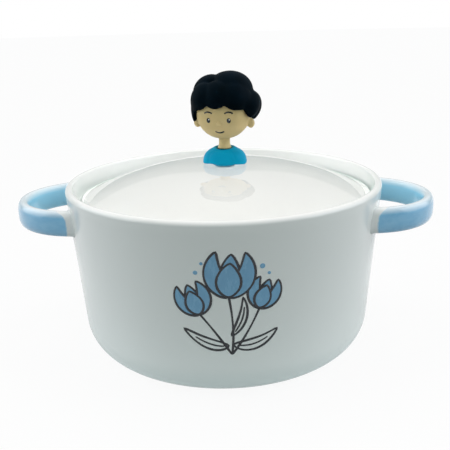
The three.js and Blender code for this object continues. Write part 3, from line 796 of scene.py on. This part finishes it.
class Print:
    """Closed thin slabs of one printed colour, laid on a surface in layers."""

    def __init__(self, surface):
        self.surface = surface
        self.points = []
        self.faces = []

    def slab(self, grid, layer, wrap=False):
        """Slab over a grid of places in the picture. wrap joins the last row to the first."""
        rows, columns = grid.shape[:2]
        first = len(self.points)
        count = rows * columns
        places = grid.reshape(-1, 2)
        top = INK_LIFT + INK_LAYER * layer
        self.points += [self.surface(u, v, top) for u, v in places]
        self.points += [self.surface(u, v, -INK_SINK) for u, v in places]
        self.faces += grid_faces(rows, columns, wrap, False, first)
        self.faces += [face[::-1] for face in grid_faces(rows, columns, wrap, False, first + count)]
        border = [[i * columns for i in range(rows)], [i * columns + columns - 1 for i in range(rows)]]
        if wrap:
            border = [side + side[:1] for side in border]
        else:
            border += [list(range(columns)), list(range(count - columns, count))]
        for side in border:
            for a, b in zip(side, side[1:]):
                self.faces.append((first + a, first + b, first + count + b, first + count + a))

    def stroke(self, line, layer, width=INK_WIDTH, closed=False):
        half = pen_widths(line, width, closed)[:, None] * sideways(line, closed)
        self.slab(np.stack([line - half, line + half], axis=1), layer, closed)

    def dot(self, centre, radius, layer, stretch=1.0):
        """Round dot, or an oval one that is stretched upwards."""
        turns = np.linspace(0, 2 * math.pi, DOT_STEPS + 1)[:-1]
        rim = np.stack([radius * np.cos(turns), radius * stretch * np.sin(turns)], axis=1)
        grid = np.array(centre) + rim[:, None, :] * DOT_SHARES[None, :, None]
        self.slab(grid, layer, True)

    def finish(self, name, material):
        return make_mesh(name, self.points, self.faces, (material,))


def blade_sides(middle, half_width):
    """Both edges of a leaf or petal about its middle line, round at the foot and pointed at the tip."""
    shares = np.linspace(0, 1, len(middle))
    swell = np.sin(math.pi * shares**BLADE_LEAN) ** BLADE_ROUNDNESS
    half = half_width * np.maximum(swell, 0)[:, None] * sideways(middle)
    return middle + half, middle - half


def blade(ink, fill, middle, half_width, layer):
    """Leaf or petal: a filled shape, if there is a fill, with a drawn edge."""
    left, right = blade_sides(middle, half_width)
    if fill:
        across = np.linspace(0, 1, BLADE_COLUMNS)[None, :, None]
        grid = left[1:-1, None, :] * (1 - across) + right[1:-1, None, :] * across
        fill.slab(grid, layer)
    ink.stroke(np.concatenate([left, right[::-1][1:-1]]), layer + 1, closed=True)


# Petals of a bloom, back to front: where the middle line leans and ends, and the half width, as shares
# of the bloom's width and height
PETALS = (
    ((0.0, 0.5), (0.02, 0.96), 0.27),
    ((-0.62, 0.42), (-0.36, 1.0), 0.24),
    ((0.62, 0.42), (0.36, 1.0), 0.24),
    ((-0.03, 0.4), (0.0, 0.76), 0.31),
)

# Blooms: foot of the bloom, width, height and lean in degrees, then the pull of the stem below it
BLOOMS = (
    ((-0.5, 3.5), 18.5, 22.5, -3, (2.5, -14)),
    ((-14.5, -5.5), 13.5, 16.5, 20, (-7, -15)),
    ((14.0, -3.0), 12.5, 15.5, -17, (9, -16)),
)

# Leaves: start, pull and end of the middle line, and the half width
LEAVES = (
    ((-1.0, -22.5), (-10.5, -24.0), (-22.5, -13.5), 2.7),
    ((1.5, -22.0), (13.0, -25.0), (23.0, -15.0), 2.9),
    ((0.6, -17.0), (8.5, -8.0), (6.2, 3.0), 2.0),
)

DOTS = (((-15.5, 16.0), 1.05), ((15.2, 18.4), 1.25), ((-12.6, 20.6), 0.8), ((18.4, 14.6), 0.8))
STEM_FOOT = (0.6, -27.5)

# Vein of a leaf: its part of the middle line's points, and its width
VEIN_PART = slice(4, -9)
VEIN_WIDTH = INK_WIDTH * 0.7


def turned(place, degrees):
    """Place in the picture, turned about its middle."""
    c, s = math.cos(math.radians(degrees)), math.sin(math.radians(degrees))
    return np.array([place[0] * c - place[1] * s, place[0] * s + place[1] * c])


def printed_sprig():
    ink = Print(on_wall)
    blue = Print(on_wall)
    for foot, width, height, lean, pull in BLOOMS:
        ink.stroke(bezier(STEM_FOOT, pull, foot), 0)
        for layer, (bend, tip, half_width) in enumerate(PETALS):
            scale = np.array([width, height])
            middle = bezier((0, 0), bend * scale, tip * scale)
            placed = np.array([np.array(foot) + turned(p, lean) for p in middle])
            blade(ink, blue, placed, half_width * width, 2 * layer)
    for start, pull, end, half_width in LEAVES:
        middle = bezier(start, pull, end)
        blade(ink, None, middle, half_width, 0)
        ink.stroke(middle[VEIN_PART], 1, VEIN_WIDTH)
    for centre, radius in DOTS:
        blue.dot(centre, radius, 0)
    dress(ink.finish("print_lines", INK), "vessel", "blue_glaze")
    dress(blue.finish("print_blooms", PRINT_BLUE), "vessel", "blue_glaze")


# Glass lid
EDGE_BAND = 1.2
LID_TURN_STEPS = 384


def lid():
    def pick(middle):
        return 1 if math.hypot(middle.x, middle.y) > LID_RADIUS - EDGE_BAND else 0

    piece = revolve("lid_dome", lid_outline(), LID_TURN_STEPS, (GLASS, GLASS_EDGE), closed=True, pick=pick)
    piece.data.transform(Matrix.Translation((LID_REST_SHIFT * MM, 0, 0)))
    return dress(piece, "lid", "glass", "lid_glass")


# Doll bust, made facing -Y, then turned to its yaw about Z and set on the lid
YAW = math.radians(DOLL_YAW)
YAW_TURN = np.array([[math.cos(YAW), -math.sin(YAW), 0], [math.sin(YAW), math.cos(YAW), 0], [0, 0, 1]])
FORWARD = YAW_TURN @ np.array([0, -1, 0])


def on_lid(points):
    """Points of the doll, turned to its yaw and moved to the lid's middle."""
    return [tuple(YAW_TURN @ np.array(p) + np.array([LID_REST_SHIFT, 0, 0])) for p in points]


# Shirt sections: rise, size from the collar at 0 to full at 1, and squareness
SHIRT_SECTIONS = np.array([
    (0, 0.96, 2.3),
    (0.04, 1, 2.4),
    (0.12, 1, 2.5),
    (0.3, 0.95, 2.6),
    (0.47, 0.87, 2.6),
    (0.65, 0.7, 2.5),
    (0.79, 0.48, 2.3),
    (0.9, 0.22, 2.1),
    (1, 0, 2),
])
SHIRT_STEPS = 180
SHIRT_RINGS = 46


def smooth_sections(sections, count):
    """Sections at even steps along a smooth curve through the given ones."""
    knots = np.arange(len(sections))
    steps = np.linspace(0, len(sections) - 1, count)
    slopes = np.gradient(sections, axis=0)
    low = np.minimum(steps.astype(int), len(sections) - 2)
    t = (steps - knots[low])[:, None]
    start, end = sections[low], sections[low + 1]
    return (
        (2 * t**3 - 3 * t**2 + 1) * start
        + (t**3 - 2 * t**2 + t) * slopes[low]
        + (3 * t**2 - 2 * t**3) * end
        + (t**3 - t**2) * slopes[low + 1]
    )


def shirt_ring(rise, size, squareness):
    """Ring of the shirt, creased in front of the arms and drooping at the hem and sleeves."""
    outside = COLLAR_RADIUS + COLLAR_WALL
    half_width = outside + (SHIRT_WIDTH / 2 - outside) * size
    half_depth = outside + (SHIRT_DEPTH / 2 - outside) * size
    ring = []
    for j in range(SHIRT_STEPS):
        angle = 2 * math.pi * j / SHIRT_STEPS - math.pi
        x, y = superellipse(angle, half_width, half_depth, max(2, squareness))
        offset = (abs(math.degrees(abs(angle)) - 90) - CREASE_ANGLE) / (CREASE_WIDTH / 2)
        inward = 1 - CREASE_DEPTH * math.exp(-offset * offset) * max(0, size) / math.hypot(x, y)
        droop = SLEEVE_DROOP * (x / half_width * (1 - rise)) ** 2 + HEM_DROP * (1 - rise)
        ring.append((x * inward, y * inward, SHIRT_Z + rise * SHIRT_HEIGHT - droop))
    return dipped(ring, max(0, rise - COLLAR_DIP_FROM) / (1 - COLLAR_DIP_FROM))


def dipped(ring, share):
    """Ring that hangs lower at the front, as the collar does."""
    return [(x, y, z - COLLAR_DIP * share * max(0, -y / math.hypot(x, y))) for x, y, z in ring]


def circle(radius, height, steps):
    """Ring of points that starts on -X, as the shirt's rings do."""
    turns = [2 * math.pi * j / steps - math.pi for j in range(steps)]
    return [(radius * math.cos(t), radius * math.sin(t), height) for t in turns]


def shirt():
    sections = smooth_sections(SHIRT_SECTIONS, SHIRT_RINGS)
    foot_z = SHIRT_FOOT_Z - SHIRT_FOOT_SINK
    rings = [
        circle(FOOT_RECESS_RADIUS, FOOT_RECESS_TOP, SHIRT_STEPS),
        circle(FOOT_RECESS_RADIUS, foot_z, SHIRT_STEPS),
        circle(SHIRT_FOOT_RADIUS - SHIRT_FOOT_EDGE, foot_z, SHIRT_STEPS),
        circle(SHIRT_FOOT_RADIUS, foot_z + SHIRT_FOOT_EDGE, SHIRT_STEPS),
        circle(SHIRT_FOOT_RADIUS, SHIRT_Z - HEM_DROP, SHIRT_STEPS),
        *[shirt_ring(*section) for section in sections],
        dipped(circle(COLLAR_RADIUS + COLLAR_EDGE, SHIRT_TOP, SHIRT_STEPS), 1),
        dipped(circle(COLLAR_RADIUS, SHIRT_TOP - COLLAR_EDGE, SHIRT_STEPS), 1),
        circle(COLLAR_RADIUS, COLLAR_Z, SHIRT_STEPS),
    ]
    points, faces = loft_points(rings)
    return dress(make_mesh("doll_shirt", on_lid(points), faces, (SHIRT,)), "lid", "shirt", "knob_shirt")


HEAD_STEPS = 128
HEAD_RINGS = 96
BALL_STEPS = 40


def ball(radii, centre):
    rings = []
    for i in range(1, BALL_STEPS):
        latitude = math.pi * (i / BALL_STEPS - 0.5)
        ring = circle(math.cos(latitude), math.sin(latitude), BALL_STEPS)
        rings.append([tuple(np.array(p) * radii + np.array(centre)) for p in ring])
    return loft_points(rings)


def skull():
    rings = []
    for i in range(1, HEAD_RINGS):
        latitude = math.pi * (i / HEAD_RINGS - 0.5)
        share, up = superellipse(latitude, 1, HEAD_HEIGHT / 2, HEAD_SQUARENESS)
        narrow = 1 - JAW_TAPER * (max(0, -up / HEAD_HEIGHT) * 2) ** 2
        half_width = HEAD_WIDTH / 2 * narrow * share
        half_depth = HEAD_DEPTH / 2 * narrow * share
        turns = [2 * math.pi * j / HEAD_STEPS for j in range(HEAD_STEPS)]
        ring = [superellipse(t, half_width, half_depth, HEAD_SQUARENESS) for t in turns]
        rings.append([(x, y, HEAD_Z + up) for x, y in ring])
    return loft_points(rings)


def neck():
    flared = NECK_RADIUS + NECK_FLARE
    outline = [
        (flared, NECK_Z),
        (flared, NECK_Z + NECK_FLARE),
        ((flared + NECK_RADIUS) / 2, NECK_Z + (NECK_FLARE + NECK_FLARE_HEIGHT) / 2),
        (NECK_RADIUS, NECK_Z + NECK_FLARE_HEIGHT),
        (NECK_RADIUS, CHIN_Z),
        (NECK_RADIUS, CHIN_Z + NECK_RADIUS),
    ]
    return loft_points([circle(r, z, HEAD_STEPS) for r, z in outline])


def soften(piece, rounds):
    """Smooths the surface of a piece over a number of rounds."""
    smooth = piece.modifiers.new("soften", "SMOOTH")
    smooth.factor = SMOOTH_FACTOR
    smooth.iterations = rounds


def fused(name, parts, material):
    """One soft skin over parts that run into each other."""
    points, faces = [], []
    for part_points, part_faces in parts:
        faces += [tuple(len(points) + k for k in face) for face in part_faces]
        points += part_points
    rough = make_mesh(name + "_rough", on_lid(points), faces, (material,))
    remesh = rough.modifiers.new("fuse", "REMESH")
    remesh.mode = "VOXEL"
    remesh.voxel_size = HEAD_VOXEL * MM
    soften(rough, HEAD_SMOOTHING)
    skin = bpy.data.meshes.new_from_object(rough.evaluated_get(bpy.context.evaluated_depsgraph_get()))
    bpy.data.objects.remove(rough)
    skin.name = name
    coat(skin, material)
    return add_object(name, skin)


def head():
    ears = [ball(EAR_RADII, (side * HEAD_WIDTH / 2, 0, HEAD_Z + EAR_LEVEL)) for side in (-1, 1)]
    nose = ball([NOSE_RADIUS] * 3, (0, -HEAD_DEPTH / 2, HEAD_Z + NOSE_LEVEL))
    piece = fused("doll_head", [skull(), neck(), nose, *ears], SKIN)
    return dress(piece, "lid", "skin", "knob_head")


# Painted face: a plain calm one, in millimetres across and up from the middle of the head
EYE_APART = 5.6
EYE_UP = -4.6
EYE_RADIUS = 1.05
EYE_STRETCH = 1.35
GLINT_RADIUS = 0.32
GLINT_ASIDE = 0.35
GLINT_LIFT = 0.5
BROW_UP = -0.9
BROW_HALF = 2.3
BROW_ARCH = 1.7
MOUTH_UP = -10.6
MOUTH_HALF = 2.5
MOUTH_SAG = -1.9
FACE_INK = 0.75
FACE_STEPS = 20


def face_line(middle, up, half_width, arch):
    """Short line of the face between two ends at one height, arched between them."""
    return bezier((middle - half_width, up), (middle, up + arch), (middle + half_width, up), FACE_STEPS)


def painted_face(head_piece):
    tree = BVHTree.FromObject(head_piece, bpy.context.evaluated_depsgraph_get())

    def on_face(across, up, lift):
        start = np.array(on_lid([(across, -HEAD_DEPTH, HEAD_Z + up)])[0])
        spot = tree.ray_cast(Vector(start * MM), Vector(-FORWARD))[0]
        return tuple(np.array(spot) / MM + lift * FORWARD)

    paint = Print(on_face)
    glint = Print(on_face)
    for side in (-1, 1):
        middle = side * EYE_APART
        paint.dot((middle, EYE_UP), EYE_RADIUS, 1, EYE_STRETCH)
        glint.dot((middle + GLINT_ASIDE, EYE_UP + GLINT_LIFT), GLINT_RADIUS, 2)
        paint.stroke(face_line(middle, BROW_UP, BROW_HALF, BROW_ARCH), 1, FACE_INK)
    paint.stroke(face_line(0, MOUTH_UP, MOUTH_HALF, MOUTH_SAG), 1, FACE_INK)
    dress(paint.finish("doll_face_paint", INK), "lid", "hair")
    dress(glint.finish("doll_eye_glints", GLAZE), "lid", "skin")


# Hair: locks along the lower edge, each by its facing and its reach down from the crown in degrees
LOCKS = (
    (-72, 114), (-42, 89), (-6, 85), (36, 88), (72, 105),
    (108, 113), (144, 124), (180, 130), (216, 124), (252, 117),
)

# Full rounded swells: facing, tilt from the crown, spread in degrees, and height
SWELLS = (
    (80, 26, 40, 4.2),
    (-88, 38, 30, 3.2),
    (-88, 92, 36, 2.1),
    (88, 88, 32, 6),
    (-40, 68, 34, 3.6),
    (-2, 58, 32, 3.4),
    (40, 64, 36, 3.8),
    (180, 58, 46, 3.8),
    (222, 92, 42, 3.6),
    (138, 92, 42, 3.6),
    (180, 112, 34, 2.8),
)
HAIR_STEPS = 300
HAIR_RINGS = 90
INSIDE_STRIDE = 3
GROOVE_FADE = 4
EDGE_FADE = 8


def look_along(facing, tilt):
    """Direction from the middle of the head, by its facing and its tilt from the crown in degrees."""
    f, t = math.radians(facing), math.radians(tilt)
    return np.array([math.sin(t) * math.sin(f), -math.sin(t) * math.cos(f), math.cos(t)])


SWELL_MIDDLES = np.array([look_along(facing, tilt) for facing, tilt, _, _ in SWELLS])
SWELL_SPREADS = np.array([spread for _, _, spread, _ in SWELLS])
SWELL_HEIGHTS = np.array([height for _, _, _, height in SWELLS])


def swell_at(direction):
    """Height of the fullest swell along a direction."""
    away = np.degrees(np.arccos(np.clip(SWELL_MIDDLES @ direction, -1, 1))) / SWELL_SPREADS
    return float(np.max(SWELL_HEIGHTS * np.sqrt(np.maximum(0, 1 - away**2))))


def hair_edge(facing):
    """Reach of the hair at a facing, and how deep in a groove between two locks it lies."""
    around = [*LOCKS, (LOCKS[0][0] + 360, LOCKS[0][1])]
    following = next(k for k, lock in enumerate(around) if lock[0] > facing)
    (left, left_reach), (right, right_reach) = around[following - 1], around[following]
    share = (facing - left) / (right - left)
    groove = (1 - abs(2 * share - 1)) ** 2
    blend = share * share * (3 - 2 * share)
    return left_reach + (right_reach - left_reach) * blend - LOCK_NOTCH * groove, groove


def skin_distance(direction):
    """Distance from the middle of the head to its skin along a direction."""
    shares = np.abs(2 * direction / np.array([HEAD_WIDTH, HEAD_DEPTH, HEAD_HEIGHT]))
    return float(np.sum(shares**HEAD_SQUARENESS) ** (-1 / HEAD_SQUARENESS))


def hair_point(facing, down, sink=None):
    """Point of the cap from the crown at 0 to the ends of the locks at 1, or of its inside."""
    reach, groove = hair_edge(facing)
    direction = look_along(facing, reach * down)
    if sink is None:
        full = HAIR_THICKNESS + swell_at(direction) - LOCK_GROOVE * groove * down**GROOVE_FADE
        thickness = full + (HAIR_EDGE_THICKNESS - full) * down**EDGE_FADE
    else:
        thickness = -sink
    return tuple(direction * (skin_distance(direction) + thickness) + np.array([0, 0, HEAD_Z]))


def hair():
    facings = [LOCKS[0][0] + 360 * j / HAIR_STEPS for j in range(HAIR_STEPS)]
    downs = [k / HAIR_RINGS for k in range(1, HAIR_RINGS + 1)]
    outside = [[hair_point(facing, down) for facing in facings] for down in downs]
    back_up = downs[::-INSIDE_STRIDE]
    inside = [[hair_point(facing, down, HAIR_SINK) for facing in facings] for down in back_up]
    points, faces = loft_points(outside + inside)
    piece = make_mesh("doll_hair", on_lid(points), faces, (HAIR,))
    soften(piece, HAIR_SMOOTHING)
    return dress(piece, "lid", "hair", "knob_hair")


# Clamp pieces keep their solids
CLAMP_MATERIALS = {
    "foot_gasket": SILICONE,
    "under_gasket": SILICONE,
    "clamp_washer": STEEL,
    "clamp_screw": STEEL,
    "knob_nut": STEEL,
}
CLAMP_SMOOTH_ANGLE = 40


def finish_clamp():
    for node, material in CLAMP_MATERIALS.items():
        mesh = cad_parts[node].data
        coat(mesh, material)
        mesh.set_sharp_from_angle(angle=math.radians(CLAMP_SMOOTH_ANGLE))


# Studio: white floor and sky, a soft box overhead and a low lamp on each side
WHITE = (1, 1, 1)
FLOOR_RADIUS = 6.0
FLOOR_SEGMENTS = 96
FLOOR_GLOW = 0.92
FLOOR_WHITE = (0.92, 0.92, 0.92)
FLOOR_NEAR = (0.59, 0.68, 0.69)
FLOOR_FAR = (0.01, 0.02, 0.02)
FLOOR_SPREAD = (0.075, 0.17)
MIRROR_SHADOW = 0.4
AMBIENT = (0.49, 0.625, 0.61)
OVERHEAD = (0.53, 0.49, 0.48)
OVERHEAD_BAND = (0.3, 0.8)
HORIZON_GREY = (0.42, 0.48, 0.48)
HORIZON_EDGE = (0.3, 0.34)
HORIZON_STEP = 0.55
HORIZON_BAND = (0.34, 0.8)
SOFT_BOX_DISCS = ((420, 140), (424, 190), (428, 240))
SOFT_BOX_WATTS = 0.41
SOFT_BOX_TINT = (1, 0.95, 0.93)
SIDE_LEAN = 73
SIDE_LEVEL = 0.42
SIDE_WIDTH = 60
SIDE_TINT = (0.9, 0.95, 1)


def studio_floor():
    """White where it is seen, shaded round the foot in reflections, a pale bounce near the bowl."""
    shape = bmesh.new()
    bmesh.ops.create_circle(shape, cap_ends=True, radius=FLOOR_RADIUS, segments=FLOOR_SEGMENTS)
    mesh = bpy.data.meshes.new("studio_floor")
    shape.to_mesh(mesh)
    shape.free()
    g = Graph("studio_floor")
    away = g.remap(g.vector("LENGTH", g.place), *FLOOR_SPREAD, 0, 1)
    mirrored = g.math("MULTIPLY", g.reflected(), g.remap(away, 0, 1, MIRROR_SHADOW, 1))
    seen = g.math("MAXIMUM", g.clear_view(), mirrored)
    bounce = g.mix(away, FLOOR_NEAR, FLOOR_FAR)
    diffuse = g.node("BsdfDiffuse")
    g.put(diffuse.inputs["Color"], g.mix(seen, bounce, FLOOR_WHITE))
    glow = g.node("Emission")
    share = g.math("MULTIPLY", seen, FLOOR_GLOW)
    mesh.materials.append(g.done(g.mix_shader(share, diffuse.outputs["BSDF"], glow.outputs["Emission"])))
    floor = add_object("studio_floor", mesh)


def studio_sky():
    """White where it is seen, grey below an edge near the horizon in reflections, a soft light otherwise."""
    g = Graph("studio_sky", "worlds", "OutputWorld")
    axes = g.node("SeparateXYZ")
    g.put(axes.inputs["Vector"], g.direction)
    step = g.remap(axes.outputs["Z"], *HORIZON_EDGE, 0, HORIZON_STEP)
    climb = g.math("ADD", step, g.remap(axes.outputs["Z"], *HORIZON_BAND, 0, 1 - HORIZON_STEP))
    soft = g.mix(g.remap(axes.outputs["Z"], *OVERHEAD_BAND, 0, 1), AMBIENT, OVERHEAD)
    colour = g.mix(g.reflected(), soft, g.mix(climb, HORIZON_GREY, WHITE))
    sky = g.node("Background")
    g.put(sky.inputs["Color"], g.mix(g.clear_view(), colour, WHITE))
    bpy.context.scene.world = g.done(sky.outputs["Background"])


def studio_lamp(name, kind, power, tint):
    lamp = bpy.data.lights.new(name, kind)
    lamp.energy = power
    lamp.color = tint
    return add_object(name, lamp)


def studio_lamps():
    """A soft box close above the bowl lights its inside, and a low lamp stands on each side."""
    for height, width in SOFT_BOX_DISCS:
        box = studio_lamp("soft_box", "AREA", SOFT_BOX_WATTS / len(SOFT_BOX_DISCS), SOFT_BOX_TINT)
        box.data.shape = "DISK"
        box.data.size = width * MM
        box.location.z = height * MM
        box.visible_glossy = False
    for name, side in (("left_light", -1), ("right_light", 1)):
        lamp = studio_lamp(name, "SUN", SIDE_LEVEL * math.pi, SIDE_TINT)
        lamp.data.angle = math.radians(SIDE_WIDTH)
        lamp.rotation_euler = (math.radians(SIDE_LEAN), 0, side * math.pi / 2)


def camera():
    """Camera in front of the bowl and above its rim, turned with it about Z."""
    rise, tilt, pan, roll, turn = (
        math.radians(a)
        for a in (CAMERA_ELEVATION, CAMERA_TILT, CAMERA_PAN, CAMERA_ROLL, CAMERA_TURN)
    )
    eye = Vector((0, -math.cos(rise), math.sin(rise))) * CAMERA_DISTANCE + Vector((0, 0, CAMERA_AIM_HEIGHT))
    ahead = Vector((math.sin(pan) * math.cos(tilt), math.cos(pan) * math.cos(tilt), -math.sin(tilt)))
    right = ahead.cross(Vector((0, 0, 1))).normalized()
    up = right.cross(ahead)
    side = math.cos(roll) * right + math.sin(roll) * up
    top = math.cos(roll) * up - math.sin(roll) * right
    axes = Matrix((side, top, -ahead)).transposed().to_4x4()
    data = bpy.data.cameras.new("camera")
    data.sensor_width = SENSOR_WIDTH
    data.lens = FOCAL_PIXELS / PICTURE_SIDE * SENSOR_WIDTH
    data.shift_x = PICTURE_SHIFT
    data.clip_start = CAMERA_NEAR
    holder = add_object("camera", data)
    holder.matrix_world = Matrix.Rotation(turn, 4, "Z") @ Matrix.Translation(eye * MM) @ axes
    bpy.context.scene.camera = holder


bowl()
handle("ear_handle_left", "handle_left", -1)
handle("ear_handle_right", "handle_right", 1)
printed_sprig()
lid()
shirt()
painted_face(head())
hair()
finish_clamp()
studio_floor()
studio_sky()
studio_lamps()
camera()
bpy.context.scene.view_settings.view_transform = "Standard"
